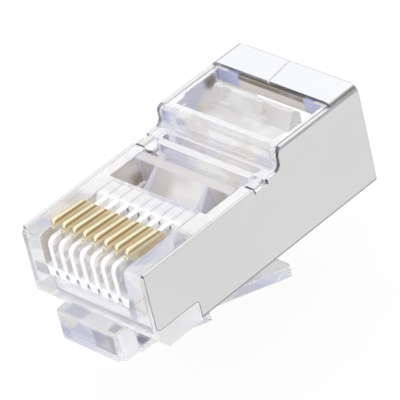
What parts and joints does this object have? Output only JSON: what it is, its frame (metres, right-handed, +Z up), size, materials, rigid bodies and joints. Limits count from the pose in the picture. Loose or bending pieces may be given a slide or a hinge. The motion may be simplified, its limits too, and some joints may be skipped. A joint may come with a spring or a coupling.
{
  "type": "shielded rj45 modular plug",
  "caption": "Shielded modular network plug, uncrimped: clear nose with raised gold contacts, folded metal shield, windowed top, open cable end and a flexing latch lever underneath.",
  "frame": {"origin": "middle of the plug's front plane, at the level of the body's underside; the plug enters a jack here", "axes": "+Y from the nose to the cable end, +Z up from the latch side to the contact side, +X across the contacts"},
  "size_m": [0.0116, 0.0232, 0.0142],
  "materials": {
    "clear_polycarbonate": "clear, glossy",
    "nickel_plate": "satin nickel plate",
    "gold_plate": "polished gold plate"
  },
  "bodies": {
    "plug": {"housing": "clear_polycarbonate", "shield": "nickel_plate"},
    "contact_1": {"contact_1": "gold_plate"},
    "contact_2": {"contact_2": "gold_plate"},
    "contact_3": {"contact_3": "gold_plate"},
    "contact_4": {"contact_4": "gold_plate"},
    "contact_5": {"contact_5": "gold_plate"},
    "contact_6": {"contact_6": "gold_plate"},
    "contact_7": {"contact_7": "gold_plate"},
    "contact_8": {"contact_8": "gold_plate"},
    "conductor_bar": {"conductor_bar": "clear_polycarbonate"},
    "jacket_clamp": {"jacket_clamp": "clear_polycarbonate"},
    "latch": {"latch_lever": "clear_polycarbonate"}
  },
  "joints": [
    {"name": "contact_1_crimp", "type": "slide", "parent": "plug", "child": "contact_1", "axis": [0, 0, -1], "range_m": [0, 0.00085]},
    {"name": "contact_2_crimp", "type": "slide", "parent": "plug", "child": "contact_2", "axis": [0, 0, -1], "range_m": [0, 0.00085]},
    {"name": "contact_3_crimp", "type": "slide", "parent": "plug", "child": "contact_3", "axis": [0, 0, -1], "range_m": [0, 0.00085]},
    {"name": "contact_4_crimp", "type": "slide", "parent": "plug", "child": "contact_4", "axis": [0, 0, -1], "range_m": [0, 0.00085]},
    {"name": "contact_5_crimp", "type": "slide", "parent": "plug", "child": "contact_5", "axis": [0, 0, -1], "range_m": [0, 0.00085]},
    {"name": "contact_6_crimp", "type": "slide", "parent": "plug", "child": "contact_6", "axis": [0, 0, -1], "range_m": [0, 0.00085]},
    {"name": "contact_7_crimp", "type": "slide", "parent": "plug", "child": "contact_7", "axis": [0, 0, -1], "range_m": [0, 0.00085]},
    {"name": "contact_8_crimp", "type": "slide", "parent": "plug", "child": "contact_8", "axis": [0, 0, -1], "range_m": [0, 0.00085]},
    {"name": "conductor_bar_crimp", "type": "slide", "parent": "plug", "child": "conductor_bar", "axis": [0, 0, -1], "range_m": [0, 0.0011]},
    {"name": "jacket_clamp_crimp", "type": "hinge", "parent": "plug", "child": "jacket_clamp", "pos_m": [0, 0.01495, 0.00593], "axis": [-1, 0, 0], "range_deg": [0, 18]},
    {"name": "latch_flex", "type": "hinge", "parent": "plug", "child": "latch", "pos_m": [0, 0.0008, -0.00122], "axis": [1, 0, 0], "range_deg": [0, 16], "stiffness_Nm_per_rad": 0.1}
  ]
}
